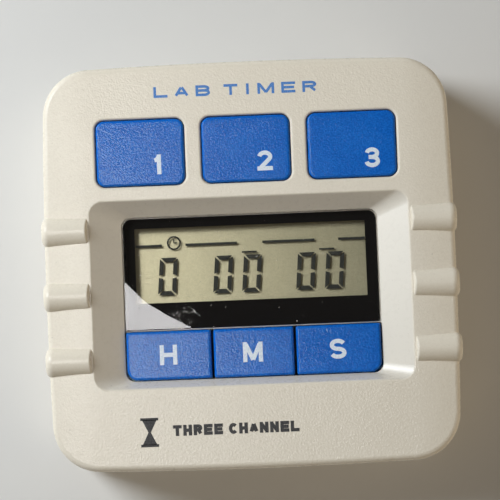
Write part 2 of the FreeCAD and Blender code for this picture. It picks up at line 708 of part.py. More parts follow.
def keypad_mat(plan, places):
    """A silicone sheet with a collapsing dome under each key."""
    mat = prism(plan, (BOARD_Z[1], MAT_WEB_Z))
    for x, y in places:
        mat = mat.fuse(Part.makeCone(*DOME_R, DOME_SLOPE_H, V(x, y, MAT_WEB_Z)))
        mat = mat.fuse(disc(DOME_R[1], x, y, (MAT_WEB_Z + DOME_SLOPE_H, DOME_TOP_Z)))
    for x, y in places:
        mat = mat.cut(Part.makeCone(*DOME_HOLLOW_R, DOME_HOLLOW_H, V(x, y, BOARD_Z[1])))
    return mat


def carbon_pills(places):
    return [disc(PILL_R, x, y, (MAT_WEB_Z - 0.05, MAT_WEB_Z + 0.3)) for x, y in places]


def key_pads(places):
    return [disc(PAD_R, x, y, (BOARD_Z[1], BOARD_Z[1] + 0.05)) for x, y in places]


# ---- circuit board -----------------------------------------------------------------------------------
def main_board():
    board = prism(rounded_rect(both(BOARD_X), BOARD_Y, BOARD_R), BOARD_Z)
    for x, y in board_screw_places():
        board = board.cut(disc(1.0, x, y, (0, FACE_Z)))
    for side in (-1, 1):
        board = board.cut(disc(CASE_BOSS_R + 0.5, side * CASE_SCREW[0], CASE_SCREW[1], (0, FACE_Z)))
        corner = box(sorted((side * 28.9, side * 33)), (28.3, 33), (0, FACE_Z))
        board = board.cut(corner)
    return board


def chip_blob():
    """The epoxy cap over the bare timer chip."""
    low_z = BOARD_Z[0] - CHIP_H
    cap = disc(CHIP_R, *CHIP, (low_z, BOARD_Z[0]))
    low = [e for e in cap.Edges if e.BoundBox.ZMax < low_z + 0.01]
    return cap.makeFillet(CHIP_EDGE_R, low)


def crystal_can():
    z = BOARD_Z[0] - CRYSTAL_R - 0.05
    x, middle_y = CRYSTAL_END
    tip_x = x + CRYSTAL_L
    can = Part.makeCylinder(CRYSTAL_R, CRYSTAL_L, V(x, middle_y, z), V(1, 0, 0))
    ends = [e for e in can.Edges if e.BoundBox.XMax < x + 0.1]
    can = can.makeFillet(0.3, ends)
    for y in (middle_y - 0.5, middle_y + 0.5):
        lead_y = (y - LEAD_HALF, y + LEAD_HALF)
        can = can.fuse(box((tip_x - 0.1, tip_x + 2.1), lead_y, (z - LEAD_HALF, z + LEAD_HALF)))
        can = can.fuse(box((tip_x + 1.8, tip_x + 2.1), lead_y, (z - LEAD_HALF, BOARD_Z[0])))
    return can


def chip_components():
    """Small ceramic capacitors and resistors along the underside of the board."""
    length, width, height = CHIP_SIZE
    found = []
    for x, y, count in CHIP_ROWS:
        for n in range(count):
            left = x + CHIP_PITCH * n
            found.append(box((left, left + length), (y, y + width), (BOARD_Z[0] - height, BOARD_Z[0])))
    return found


def coil_ring(radius):
    """What lies between the bobbin's cheeks, from its core out to a radius."""
    ring = disc(radius, *COIL, (BOARD_Z[0] - COIL_H + COIL_CHEEK_H, BOARD_Z[0] - COIL_CHEEK_H))
    return ring.cut(disc(COIL_CORE_R, *COIL, (0, FACE_Z)))


def boost_coil():
    """The choke that raises the sounder's drive voltage: a ferrite bobbin."""
    return disc(COIL_R, *COIL, (BOARD_Z[0] - COIL_H, BOARD_Z[0])).cut(coil_ring(COIL_R + 0.1))


def drive_transistor():
    body = box(TRANSISTOR_X, TRANSISTOR_Y, (BOARD_Z[0] - 1.0, BOARD_Z[0] - 0.1))
    front_y = (TRANSISTOR_Y[0] - TRANSISTOR_LEG_L, TRANSISTOR_Y[0])
    back_y = (TRANSISTOR_Y[1], TRANSISTOR_Y[1] + TRANSISTOR_LEG_L)
    legs = []
    for x, y in ((0.3, front_y), (2.2, front_y), (1.25, back_y)):
        left = TRANSISTOR_X[0] + x
        legs.append(box((left, left + 0.4), y, (BOARD_Z[0] - 0.5, BOARD_Z[0])))
    return body.fuse(legs)


def storage_capacitor():
    low_z = BOARD_Z[0] - CAPACITOR_H
    can = disc(CAPACITOR_R, *CAPACITOR, (low_z, BOARD_Z[0]))
    ends = [e for e in can.Edges if e.BoundBox.ZMax < low_z + 0.1]
    return can.makeFillet(0.3, ends)


# ---- sounder -----------------------------------------------------------------------------------------
def coil_spring(radius, wire_r, height, turns):
    """A round-wire helical spring along +Z, centred on the origin and starting at height zero."""
    helix = Part.makeLongHelix(height / turns, height, radius)
    ring = Part.Wire([Part.Circle(V(radius, 0, 0), V(0, 1, 0), wire_r).toShape()])
    return Part.Wire(helix.Edges).makePipeShell([ring], True, True)


def sounder_springs():
    """Two contact springs from the board down to the sounder's plate and its ceramic."""
    springs = []
    for x, low in ((SOUNDER_X - 1.5, SOUNDER_Z + 2 * PLATE_T), (SOUNDER_X + 4.9, SOUNDER_Z + PLATE_T)):
        spring = coil_spring(0.65, 0.15, BOARD_Z[0] - low - 2 * SPRING_GAP, 6)
        spring.translate(V(x, SOUNDER_Y, low + SPRING_GAP))
        springs.append(spring)
    return springs


# ---- battery -----------------------------------------------------------------------------------------
def along_x(radius, x):
    """A cylinder on the cell's axis between two x positions."""
    return Part.makeCylinder(radius, x[1] - x[0], V(x[0], CELL_Y, CELL_Z), V(1, 0, 0))


def cell_can():
    body_end = CELL_PLUS_X - 1.0
    can = along_x(CELL_R - 0.15, (CELL_PLUS_X - CELL_L + 0.3, body_end - 0.2))
    shoulders = [e for e in can.Edges if e.Length > 10]
    can = can.makeFillet(0.5, shoulders)
    nub = along_x(1.9, (body_end - 0.5, CELL_PLUS_X))
    nub_end = [e for e in nub.Edges if e.BoundBox.XMin > CELL_PLUS_X - 0.01]
    base = along_x(3.6, (CELL_PLUS_X - CELL_L, CELL_PLUS_X - CELL_L + 0.5))
    return can.fuse([nub.makeFillet(0.3, nub_end), base])


def cell_wrap():
    """The printed sleeve shrunk over the can."""
    ends = (CELL_PLUS_X - CELL_L + 1.0, CELL_PLUS_X - 1.9)
    return along_x(CELL_R, ends).cut(along_x(CELL_R - 0.15, (ends[0] - EPS, ends[1] + EPS)))


def contact_plate(side):
    """A spring-steel plate at one end of the bay, with a strap that reaches the board."""
    x = sorted((side * BAY_X, side * (BAY_X - CONTACT_T)))
    plate = box(x, (BAY_Y[0] + 1.4, BAY_Y[1] - 1.0), (2.8, 10.6))
    strap = box(x, (BAY_Y[1] - 1.2, -17.6), (BOARD_Z[1] + 0.02, 11.2))
    foot_x = sorted((side * BAY_X, side * (BAY_X - 3.0)))
    foot = box(foot_x, (-19.2, -17.6), (BOARD_Z[1] + 0.02, BOARD_Z[1] + 0.32))
    step = box(x, (BAY_Y[1] - 1.2, BAY_Y[1] - 0.9), (9.2, 10.6))
    return plate.fuse([strap, foot, step])


def negative_spring():
    length = (CELL_PLUS_X - CELL_L) - (-BAY_X + CONTACT_T)
    gap = 0.4
    spring = coil_spring(2.9, 0.3, length - 2 * gap, 4)
    spring.rotate(V(0, 0, 0), V(0, 1, 0), 90)
    spring.translate(V(-BAY_X + CONTACT_T + gap, CELL_Y, CELL_Z))
    return spring


def battery_door():
    low = -BODY_H / 2 - EPS
    plate = box(both(DOOR_X), (low, DOOR_TOP_Y), (0, DOOR_LIP_Z))
    tongues = box(both(TONGUE_X), (low, TONGUE_Y), (TONGUE_Z, DOOR_LIP_Z))
    door = rear_block().common(plate.fuse(tongues))
    hollow = box(both(DOOR_X - 0.9), (-BODY_H / 2 + WALL, DOOR_TOP_Y + EPS), (DOOR_T, DOOR_LIP_Z + EPS))
    door = door.cut(hollow)
    ridges = [box(both(5.0), (y, y + 0.55), (-EPS, 0.3)) for y in (-31.6, -30.5, -29.4, -28.3)]
    tip, base = -26.6, -23.6
    corners = [V(0, tip, 0), V(2.4, base, 0), V(-2.4, base, 0), V(0, tip, 0)]
    arrow = prism(Part.makePolygon(corners), (-EPS, 0.3))
    return door.cut(ridges + [arrow])


# ---- stand and fasteners -----------------------------------------------------------------------------
def stand():
    """A U-shaped prop that folds flush into the back, with a stub pin at the end of each leg."""
    inner_x = STAND_X - STAND_LEG_W
    outer = rounded_rect(both(STAND_X), (STAND_FOOT_Y, HINGE_Y), (3.0, 3.0, 0.2, 0.2))
    gap = rounded_rect(both(inner_x), (STAND_FOOT_Y + STAND_FOOT_H, HINGE_Y + EPS), (2.0, 2.0, 0.2, 0.2))
    frame = prism(outer, STAND_Z).cut(prism(gap, (STAND_Z[0] - EPS, STAND_Z[1] + EPS)))
    low = [e for e in frame.Edges if e.BoundBox.ZMax < STAND_Z[0] + 0.01]
    outside = [e for e in low if e.BoundBox.YMax < HINGE_Y - 0.3]
    frame = frame.makeFillet(0.4, outside)
    for side in (-1, 1):
        start = side * (inner_x if side > 0 else STAND_X)
        barrel = Part.makeCylinder(BARREL_R, STAND_LEG_W, V(start, HINGE_Y, HINGE_Z), V(1, 0, 0))
        root = V(STAND_X - 0.5, HINGE_Y, HINGE_Z)
        pin = Part.makeCylinder(PIN_R, PIN_END_X - root.x, root, V(1, 0, 0))
        frame = frame.fuse([barrel, mirrored(pin, side)])
    grip_z = (STAND_Z[0] - EPS, STAND_Z[0] + 0.35)
    grips = [box(both(6.0), (y, y + 0.6), grip_z) for y in (-15.6, -14.4, -13.2)]
    return frame.cut(grips).removeSplitter()


def pan_screw(x, y, head_r, head_z, shank_r, tip_z):
    """A cross-recessed pan-head screw, head down, with its shank along +Z."""
    head = disc(head_r, x, y, head_z)
    outer = [e for e in head.Edges if e.BoundBox.ZMax < head_z[0] + 0.01]
    head = head.makeFillet(min(0.6, 0.6 * (head_z[1] - head_z[0])), outer)
    shank = disc(shank_r, x, y, (head_z[1], tip_z - shank_r))
    tip = Part.makeCone(shank_r, 0.3, shank_r, V(x, y, tip_z - shank_r))
    reach, width, depth = head_r * 0.55, head_r * 0.13, (head_z[1] - head_z[0]) * 0.55
    z = (head_z[0] - EPS, head_z[0] + depth)
    slots = [
        box((x - reach, x + reach), (y - width, y + width), z),
        box((x - width, x + width), (y - reach, y + reach), z),
    ]
    return head.cut(slots).fuse([shank, tip])


def main():
    os.makedirs("parts", exist_ok=True)
    channel_domes, setting_domes = dome_places()
    every_dome = channel_domes + setting_domes

    save("front_case", front_case())
    save("rear_cover", rear_cover())
    save("display_window", window())
    save("window_mask", window_mask())
    for name, shape in display_pieces().items():
        save(name, shape)
    save("lcd_holder", lcd_holder())
    save("zebra_strip", zebra_strip())

    for number, x in enumerate(channel_xs(), start=1):
        save(f"key_channel_{number}", channel_key(x))
    for name, span in zip(("hours", "minutes", "seconds"), setting_key_spans()):
        save(f"key_{name}", setting_key(span))
    upper_plan = rounded_rect(both(UPPER_MAT[0]), UPPER_MAT[1], 1.0)
    lower_plan = rounded_rect(both(LOWER_MAT[0]), LOWER_MAT[1], 1.0)
    save("upper_keypad_mat", keypad_mat(upper_plan, channel_domes))
    save("lower_keypad_mat", keypad_mat(lower_plan, setting_domes))
    save("carbon_pills", *carbon_pills(every_dome))
    save("key_contact_pads", *key_pads(every_dome))

    save("main_board", main_board())
    save("chip_cap", chip_blob())
    save("quartz_crystal", crystal_can())
    save("chip_components", *chip_components())
    save("boost_coil_core", boost_coil())
    save("boost_coil_winding", coil_ring(WINDING_R))
    save("drive_transistor", drive_transistor())
    save("storage_capacitor", storage_capacitor())

    plate_top = SOUNDER_Z + PLATE_T
    save("sounder_plate", disc(SOUNDER_R, SOUNDER_X, SOUNDER_Y, (SOUNDER_Z, plate_top)))
    save("sounder_ceramic", disc(CERAMIC_R, SOUNDER_X, SOUNDER_Y, (plate_top, plate_top + PLATE_T)))
    save("sounder_springs", *sounder_springs())

    save("battery_can", cell_can())
    save("battery_wrap", cell_wrap())
    save("battery_plus_contact", contact_plate(1))
    save("battery_minus_contact", contact_plate(-1))
    save("battery_minus_spring", negative_spring())
    save("battery_door", battery_door())

    save("stand", stand())
    save("magnet", disc(MAGNET_R, 0, MAGNET_Y, MAGNET_Z))
    label = rounded_rect(LABEL_X, LABEL_Y, LABEL_R)
    save("serial_label", prism(label, LABEL_Z))
    case_screws = [pan_screw(x, y, CASE_HEAD_R, CASE_HEAD_Z, CASE_SCREW_R - 0.02, CASE_SCREW_TOP_Z)
                   for x, y in four_corners(*CASE_SCREW)]
    save("case_screws", *case_screws)
    board_head_z = (BOARD_Z[0] - 1.1, BOARD_Z[0])
    board_screws = [pan_screw(x, y, BOARD_HEAD_R, board_head_z, BOARD_SCREW_R - 0.02, BOARD_SCREW_TIP_Z)
                    for x, y in board_screw_places()]
    save("board_screws", *board_screws)


main()
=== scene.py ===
# %% [markdown]
# # A three-channel laboratory timer
#
# The timer's solid parts come from a CAD model that is already finished, so this lesson is about its looks:
# moulded plastic with its grain, a display with depth behind a glossy window, printing, light and a camera.
# The CAD parts stay where they are. What CAD leaves out, such as ink and the dark segments of the display,
# is modelled here and rides on the CAD body that carries it.

# %% Load the CAD frame
import json
import math

import bpy
from mathutils import Matrix, Vector


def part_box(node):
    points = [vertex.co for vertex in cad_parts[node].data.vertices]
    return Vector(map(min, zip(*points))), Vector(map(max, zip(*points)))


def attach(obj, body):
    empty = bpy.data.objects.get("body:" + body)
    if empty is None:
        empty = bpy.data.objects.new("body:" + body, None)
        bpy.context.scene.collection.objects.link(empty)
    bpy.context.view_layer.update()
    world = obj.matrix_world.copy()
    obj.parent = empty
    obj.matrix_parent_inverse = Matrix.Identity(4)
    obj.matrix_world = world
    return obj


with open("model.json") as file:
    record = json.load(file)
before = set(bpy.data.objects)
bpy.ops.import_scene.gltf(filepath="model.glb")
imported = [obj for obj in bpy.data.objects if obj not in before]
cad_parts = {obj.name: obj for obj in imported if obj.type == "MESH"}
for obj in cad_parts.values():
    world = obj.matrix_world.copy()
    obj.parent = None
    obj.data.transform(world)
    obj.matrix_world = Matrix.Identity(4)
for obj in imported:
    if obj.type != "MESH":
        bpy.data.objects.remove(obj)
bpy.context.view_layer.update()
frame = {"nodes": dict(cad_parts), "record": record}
MM = 0.001

# %% [markdown]
# ## Where things are
#
# Heights come from the boxes of the CAD nodes, so ink and segments lie where the CAD parts are. Places across
# the face are plain numbers in millimetres from the timer's middle, which is how the printing on a product is
# drawn, and `mm` turns a CAD box into the same numbers.

# %% Read the places that matter
def mm(node):
    """Lowest and highest corner of a CAD node, in millimetres."""
    low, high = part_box(node)
    return low / MM, high / MM


front_glass_low = mm("lcd_front_glass")[0]
FACE_Z = 18.0                  # the flat face of the case; only the grip ribs stand higher
RECESS_X = 26.8                # the recess around the window reaches this far to each side,
RECESS_Y = (-20.3, 11.3)       # and from here to here along the timer
print("face height", FACE_Z, "underside of the display's front glass", round(front_glass_low.z, 2))

# %% [markdown]
# ## Camera
#
# The timer lies on its back and is seen from almost straight above, from a little below its middle. A long
# lens keeps the four sides nearly parallel. The camera is turned by about two degrees, as a hand-held camera
# would be, so the timer sits slightly askew in the frame.

# %% Make the camera
CAMERA_PLACE = (4.9, -29.0, 450.0)      # millimetres
CAMERA_TURN = (4.106, 0.81, -2.246)     # degrees
SENSOR, LENS = 36.0, 186.17             # width and focal length, in millimetres

camera_data = bpy.data.cameras.new("camera")
camera_data.sensor_width = SENSOR
camera_data.lens = LENS
camera = bpy.data.objects.new("camera", camera_data)
camera.location = [place * MM for place in CAMERA_PLACE]
camera.rotation_euler = [math.radians(turn) for turn in CAMERA_TURN]
bpy.context.scene.collection.objects.link(camera)
bpy.context.scene.camera = camera
print("camera at", tuple(round(v, 4) for v in camera.location))

# %% [markdown]
# ## Materials as arithmetic
#
# A material's pattern is arithmetic on the point being shaded. `Paint` holds one material's nodes, and
# `Number` wraps an output socket so that `1 - mask * 0.4` adds the Math nodes that say the same.
# Any other node comes from `Paint.node`, which takes the type, its settings and its sockets.

# %% The socket-wrapping class
class Number:
    """One number that varies over the surface, with Python's arithmetic."""

    def __init__(self, paint, socket):
        self.paint = paint
        self.socket = socket

    def math(self, operation, *values):
        sockets = dict(enumerate(values))
        return self.paint.number("ShaderNodeMath", {"operation": operation}, sockets)

    def __add__(self, other):
        return self.math("ADD", self, other)

    def __radd__(self, other):
        return self.math("ADD", other, self)

    def __sub__(self, other):
        return self.math("SUBTRACT", self, other)

    def __rsub__(self, other):
        return self.math("SUBTRACT", other, self)

    def __mul__(self, other):
        return self.math("MULTIPLY", self, other)

    def __rmul__(self, other):
        return self.math("MULTIPLY", other, self)

    def __abs__(self):
        return self.math("ABSOLUTE", self)


# %% The material builder
class Paint:
    """One material: its nodes, its shader, and the patterns that feed it."""

    def __init__(self, name, **constants):
        self.material = bpy.data.materials.new(name)
        self.material.use_nodes = True
        self.tree = self.material.node_tree
        self.tree.nodes.clear()
        self.output = self.tree.nodes.new("ShaderNodeOutputMaterial")
        self.shader = self.node("ShaderNodeBsdfPrincipled", {}, constants)
        self.tree.links.new(self.shader.outputs[0], self.output.inputs["Surface"])

    def node(self, kind, settings, sockets):
        """Adds a node: settings first, then a value or a link for each named or numbered socket."""
        made = self.tree.nodes.new(kind)
        for name, value in settings.items():
            setattr(made, name, value)
        for key, value in sockets.items():
            self.set(made.inputs[key], value)
        return made

    def set(self, socket, value):
        """Links an output to the socket, or sets the socket's own value."""
        if isinstance(value, Number):
            value = value.socket
        if isinstance(value, bpy.types.NodeSocket):
            self.tree.links.new(value, socket)
        elif isinstance(value, tuple) and socket.type == "RGBA":
            socket.default_value = (*value[:3], 1.0)
        else:
            socket.default_value = value

    def number(self, kind, settings, sockets, output=0):
        """One output of a new node, as a number to reckon with."""
        return Number(self, self.node(kind, settings, sockets).outputs[output])

    def place(self):
        """The point on the object, in millimetres."""
        at = self.node("ShaderNodeTexCoord", {}, {})
        sockets = {"Vector": at.outputs["Object"], "Scale": (1 / MM,) * 3}
        return self.node("ShaderNodeMapping", {}, sockets).outputs[0]

    def xyz(self):
        """The same point as three numbers."""
        parts = self.node("ShaderNodeSeparateXYZ", {}, {0: self.place()})
        return [Number(self, output) for output in parts.outputs]

    def noise(self, size, detail=2.0, roughness=0.5, place=None, stretch=(1.0, 1.0, 1.0)):
        """Noise from 0 to 1 whose blotches are about size millimetres across."""
        where = place or self.place()
        if stretch != (1.0, 1.0, 1.0):
            where = self.node("ShaderNodeMapping", {}, {"Vector": where, "Scale": stretch}).outputs[0]
        sockets = {"Vector": where, "Scale": 1 / size, "Detail": detail, "Roughness": roughness}
        return self.number("ShaderNodeTexNoise", {}, sockets)

    def cells(self, size, feature="F1", place=None):
        """Distance within rounded cells about size millimetres across."""
        sockets = {"Vector": place or self.place(), "Scale": 1 / size}
        return self.number("ShaderNodeTexVoronoi", {"feature": feature}, sockets)

    def step(self, value, low, high):
        """0 below low, 1 above high, and a smooth rise between them; low may be the larger."""
        sockets = {"Value": value, "From Min": low, "From Max": high}
        return self.number("ShaderNodeMapRange", {"interpolation_type": "SMOOTHSTEP"}, sockets)

    def blend(self, factor, first, second):
        """A colour between two colours."""
        settings = {"data_type": "RGBA", "clamp_factor": True}
        made = self.node("ShaderNodeMix", settings, {0: factor, 6: first, 7: second})
        return made.outputs[2]

    def feed(self, **sockets):
        """Connects varying inputs of the shader, such as Base_Color or Roughness."""
        for name, value in sockets.items():
            self.set(self.shader.inputs[name.replace("_", " ")], value)

    def relief(self, height, depth):
        """Raises the surface by height times depth millimetres, as a bump."""
        sockets = {"Height": height, "Distance": depth * MM, "Strength": 1.0}
        bump = self.node("ShaderNodeBump", {}, sockets)
        self.set(self.shader.inputs["Normal"], bump.outputs[0])
        return self


print("material tools ready")

# %% [markdown]
# ## Case plastic
#
# The case is off-white ABS from a mould that was spark-eroded, which leaves a fine even grain on the outside
# faces. The recess walls and the crests of the grip ribs were polished in the mould and come out smoother.
# Masks made from the height and the place turn the grain down there. The recess walls also get a darker
# colour, which is painted shade for the deep recess. A little yellowing and a few specks of dust keep the
# large plain surface from looking computed.

# %% Case plastic material
CASE_COLOUR = (0.83, 0.765, 0.645)
CASE_YELLOWED = (0.75, 0.68, 0.565)
# the next colour is painted shade: the recess walls are blended towards it, as if shaded by the recess
CASE_RECESS_SHADE = (0.72, 0.67, 0.58)
DIRT_COLOUR = (0.36, 0.32, 0.25)
RECESS_FADE = (0.35, 0.1)      # the polish and the painted shade fade between this far outside and this far inside its edge


def recess_mask(paint, x, y, z):
    """1 on the walls of the display recess and on what lies straight below it, 0 elsewhere."""
    outside, inside = RECESS_FADE
    sides = paint.step(abs(x), RECESS_X + outside, RECESS_X - inside)
    top = paint.step(y, RECESS_Y[1] + outside, RECESS_Y[1] - inside)
    bottom = paint.step(y, RECESS_Y[0] - outside, RECESS_Y[0] + inside)
    return sides * top * bottom * paint.step(z, FACE_Z + 0.05, FACE_Z - 0.15)


def make_case_plastic():
    paint = Paint("case_plastic", **{"Specular IOR Level": 0.22, "Coat Roughness": 0.38})
    x, y, z = paint.xyz()
    polish_and_shade = recess_mask(paint, x, y, z)
    crest = paint.step(z, FACE_Z + 0.05, FACE_Z + 0.35)
    grain = paint.noise(0.28, detail=1.5) * 0.6 + paint.noise(0.44, detail=1.0) * 0.4
    grained = 1 - polish_and_shade * 0.85 - crest * 0.35
    orange_peel = paint.noise(2.6, detail=1.0)
    tone = paint.step(paint.noise(14.0, detail=3.0), 0.35, 0.75)
    pits = paint.step(paint.noise(0.36, detail=1.0), 0.62, 0.36) * grained
    colour = paint.blend(tone * 0.25 + pits * 0.32, CASE_COLOUR, CASE_YELLOWED)
    # Painted shade: the recess walls are blended towards a darker colour, as if in the shade of the recess
    colour = paint.blend(polish_and_shade * 0.9, colour, CASE_RECESS_SHADE)
    speck = paint.step(paint.noise(0.42, detail=0.0), 0.845, 0.87)
    colour = paint.blend(speck * 0.3, colour, DIRT_COLOUR)
    paint.feed(Base_Color=colour, Roughness=0.24 + paint.noise(0.8) * 0.08, Coat_Weight=polish_and_shade * 0.9)
    return paint.relief(grain * grained + orange_peel * 0.15, 0.062).material


case_plastic = make_case_plastic()
print("made", case_plastic.name)

# %% [markdown]
# ## Key plastic
#
# The keys are blue ABS with a leather-like grain: small rounded pebbles with creases between them. A Voronoi
# pattern gives the pebbles, and warping its coordinates with noise stops them from looking like a grid. A
# speckle of paler and deeper blue is painted glint and shade of the grain, and a slow tone varies the blue at
# random. The pebbles come out slightly glossier. The sheen is tinted, because on this grain it holds little
# blue.

# %% Key plastic material
# the key's blue and a paler blue; speckled together they are painted glint and shade of the grain
KEY_BLUE_AND_SHADE = (0.001, 0.104, 0.50)
KEY_PALE_BLUE_AND_GLINT = (0.010, 0.172, 0.66)
KEY_SHEEN = (1.0, 0.98, 0.45, 1.0)
KEY_WARP = (0.1, 0.1, 0.1)     # how far the noise moves the pebbles, in millimetres


def make_key_plastic():
    paint = Paint("key_plastic", **{"Specular IOR Level": 0.19, "Specular Tint": KEY_SHEEN})
    warp = paint.node("ShaderNodeTexNoise", {}, {"Vector": paint.place(), "Scale": 2.2, "Detail": 2.0})
    shifted = {0: warp.outputs["Color"], 1: KEY_WARP, 2: paint.place()}
    warped = paint.node("ShaderNodeVectorMath", {"operation": "MULTIPLY_ADD"}, shifted).outputs[0]
    pebble = paint.step(paint.cells(0.26, "SMOOTH_F1", warped), 0.75, 0.1)
    fine = paint.noise(0.27, detail=1.0)
    tone = paint.step(paint.noise(4.5, detail=2.0), 0.3, 0.8)
    # Painted glint and shade: a speckle of paler and deeper blue stands in for the sparkle and shading of the
    # grain
    painted_glint_and_shade = paint.step(paint.noise(0.30, detail=1.0), 0.34, 0.66)
    colour = paint.blend(painted_glint_and_shade * 0.75 + tone * 0.25, KEY_BLUE_AND_SHADE, KEY_PALE_BLUE_AND_GLINT)
    paint.feed(Base_Color=colour, Roughness=0.14 - pebble * 0.02 + tone * 0.02)
    return paint.relief(pebble * 0.45 + fine * 0.55, 0.024).material


key_plastic = make_key_plastic()
print("made", key_plastic.name)

# %% [markdown]
# ## Window, films and glass
#
# What is clear here is thin and flat, so it doesn't bend light enough to matter. Each clear layer is a mix of
# a transparent shader and a glossy one, and Fresnel decides how much is mirrored. Only the front of a layer
# mirrors: inside it, light that was never bent would look too slanted to get out. Light then reaches the
# display, and the display's segments cast their soft shadows on the reflector behind them.

# %% Clear layers
DUST_X, DUST_Y = -11.6, -8.0   # where dust has settled on the window
DUST_COLOUR = (0.75, 0.72, 0.66)
SMEAR, DUST, POWDER = 0.004, 0.25, 0.3      # how much of the window each mark covers where it is densest


def make_clear(name, tint, gloss_roughness, ior, marks=0.0):
    """A flat clear layer: see-through with a tint, and mirrored by Fresnel."""
    paint = Paint(name, **{"Roughness": gloss_roughness, "Metallic": 1.0})
    clear = paint.node("ShaderNodeBsdfTransparent", {}, {"Color": tint})
    front = 1 - paint.number("ShaderNodeNewGeometry", {}, {}, "Backfacing")
    edge = paint.number("ShaderNodeFresnel", {}, {"IOR": ior}) * front
    smear = paint.step(paint.noise(3.2, detail=3.0, stretch=(1.0, 0.35, 1.0)), 0.45, 0.8)
    x, y, z = paint.xyz()
    settled = paint.step(abs(x - DUST_X) + abs(y - DUST_Y) * 1.6, 4.0, 1.0)
    powder = paint.step(paint.cells(0.44), 0.27, 0.17) * settled
    dust = paint.step(paint.noise(0.40, detail=0.0), 0.835, 0.86)
    cover = (edge + smear * front * (marks * SMEAR) + dust * front * (marks * DUST)
             + powder * front * (marks * POWDER))
    sockets = {0: cover, 1: clear.outputs[0], 2: paint.shader.outputs[0]}
    mixed = paint.node("ShaderNodeMixShader", {}, sockets)
    paint.tree.links.new(mixed.outputs[0], paint.output.inputs["Surface"])
    paint.feed(Base_Color=paint.blend(dust + powder, (1.0, 1.0, 1.0), DUST_COLOUR),
               Roughness=gloss_roughness + (dust + powder) * 0.5)
    return paint.material


window_clear = make_clear("window_clear", (0.995, 0.997, 0.995), 0.01, 1.49, marks=1.0)
display_glass = make_clear("display_glass", (0.993, 0.996, 0.993), 0.03, 1.12)
display_film = make_clear("display_film", (0.975, 0.98, 0.955), 0.25, 1.05)


# %% Display reflector and black border film
REFLECTOR_PALE = (0.395, 0.35, 0.252)
REFLECTOR_DEEP = (0.275, 0.243, 0.172)


def make_reflector():
    """The satin film behind the liquid crystal: yellowish grey with a very fine sparkle."""
    paint = Paint("reflector_film", **{"Specular IOR Level": 0.1})
    grain = paint.step(paint.noise(0.30, detail=1.0), 0.3, 0.7)
    tone = paint.noise(9.0, detail=1.0)
    colour = paint.blend(grain * 0.3 + tone * 0.2, REFLECTOR_PALE, REFLECTOR_DEEP)
    paint.feed(Base_Color=colour, Roughness=0.5 + grain * 0.1)
    return paint.relief(grain, 0.012).material


def make_black_film():
    paint = Paint("black_film", **{"Specular IOR Level": 0.0})
    fleck = paint.noise(0.25, detail=3.0)
    colour = paint.blend(fleck, (0.004, 0.004, 0.004), (0.010, 0.009, 0.009))
    paint.feed(Base_Color=colour, Roughness=0.5 + fleck * 0.2)
    return paint.relief(fleck, 0.004).material


reflector_film = make_reflector()
black_film = make_black_film()
print("made the display's layers")

# %% [markdown]
# ## Inks
#
# Printing is a thin coat with a slightly uneven edge and density. On the grained keys the ink fills the
# creases, so it is smoother than the plastic, with tiny gaps where a pebble stood too deep.

# %% Ink materials
def make_ink(name, colour, thin, roughness):
    paint = Paint(name, **{"Specular IOR Level": 0.35})
    density = paint.step(paint.noise(0.22, detail=2.0), 0.28, 0.6)
    paint.feed(Base_Color=paint.blend(density, thin, colour), Roughness=roughness + density * 0.08)
    return paint.relief(paint.noise(0.2, detail=1.0), 0.012).material


white_ink = make_ink("white_ink", (0.80, 0.86, 0.92), (0.62, 0.72, 0.84), 0.42)
blue_ink = make_ink("blue_ink", (0.035, 0.19, 0.56), (0.12, 0.27, 0.58), 0.45)
black_ink = make_ink("black_ink", (0.012, 0.012, 0.013), (0.03, 0.03, 0.03), 0.45)
segment_dark = make_ink("segment_dark", (0.008, 0.009, 0.008), (0.014, 0.014, 0.013), 0.6)
print("made the inks")

# %% [markdown]
# ## Metals, rubber, board and the small parts
#
# These are inside or on the back. Metals vary in roughness along the direction they were drawn or turned,
# rubber is matte with a soft mottle, and the circuit board shows its copper tracks under the solder mask.

# %% Metal material
def make_metal(name, colour, dark, roughness, stretch):
    paint = Paint(name, **{"Metallic": 1.0})
    brushed = paint.noise(0.3, detail=3.0, stretch=stretch)
    worn = paint.step(paint.noise(2.5, detail=2.0), 0.4, 0.75)
    colour = paint.blend(worn * 0.5 + brushed * 0.3, colour, dark)
    paint.feed(Base_Color=colour, Roughness=roughness + brushed * 0.18 + worn * 0.06)
    return paint.relief(brushed, 0.01).material


steel = make_metal("steel", (0.56, 0.56, 0.57), (0.38, 0.38, 0.39), 0.26, (1.0, 6.0, 1.0))
nickel = make_metal("nickel_steel", (0.74, 0.73, 0.70), (0.60, 0.58, 0.55), 0.16, (6.0, 1.0, 1.0))
brass = make_metal("sounder_brass", (0.78, 0.58, 0.24), (0.62, 0.44, 0.17), 0.24, (1.0, 4.0, 1.0))
gold = make_metal("gold_contact", (0.85, 0.64, 0.28), (0.70, 0.50, 0.20), 0.2, (1.0, 1.0, 1.0))
copper = make_metal("copper_wire", (0.62, 0.26, 0.11), (0.45, 0.16, 0.07), 0.3, (1.0, 1.0, 9.0))


# %% Dull material
def make_dull(name, colour, second, roughness, size, depth, specular=0.4):
    """Rubber, ceramic, ferrite, epoxy and paper: a mottled colour on a finely uneven surface."""
    paint = Paint(name, **{"Specular IOR Level": specular})
    mottle = paint.noise(size, detail=3.0)
    fine = paint.noise(size * 0.25, detail=2.0)
    paint.feed(Base_Color=paint.blend(mottle, colour, second), Roughness=roughness + fine * 0.12)
    return paint.relief(fine * 0.6 + mottle * 0.4, depth).material


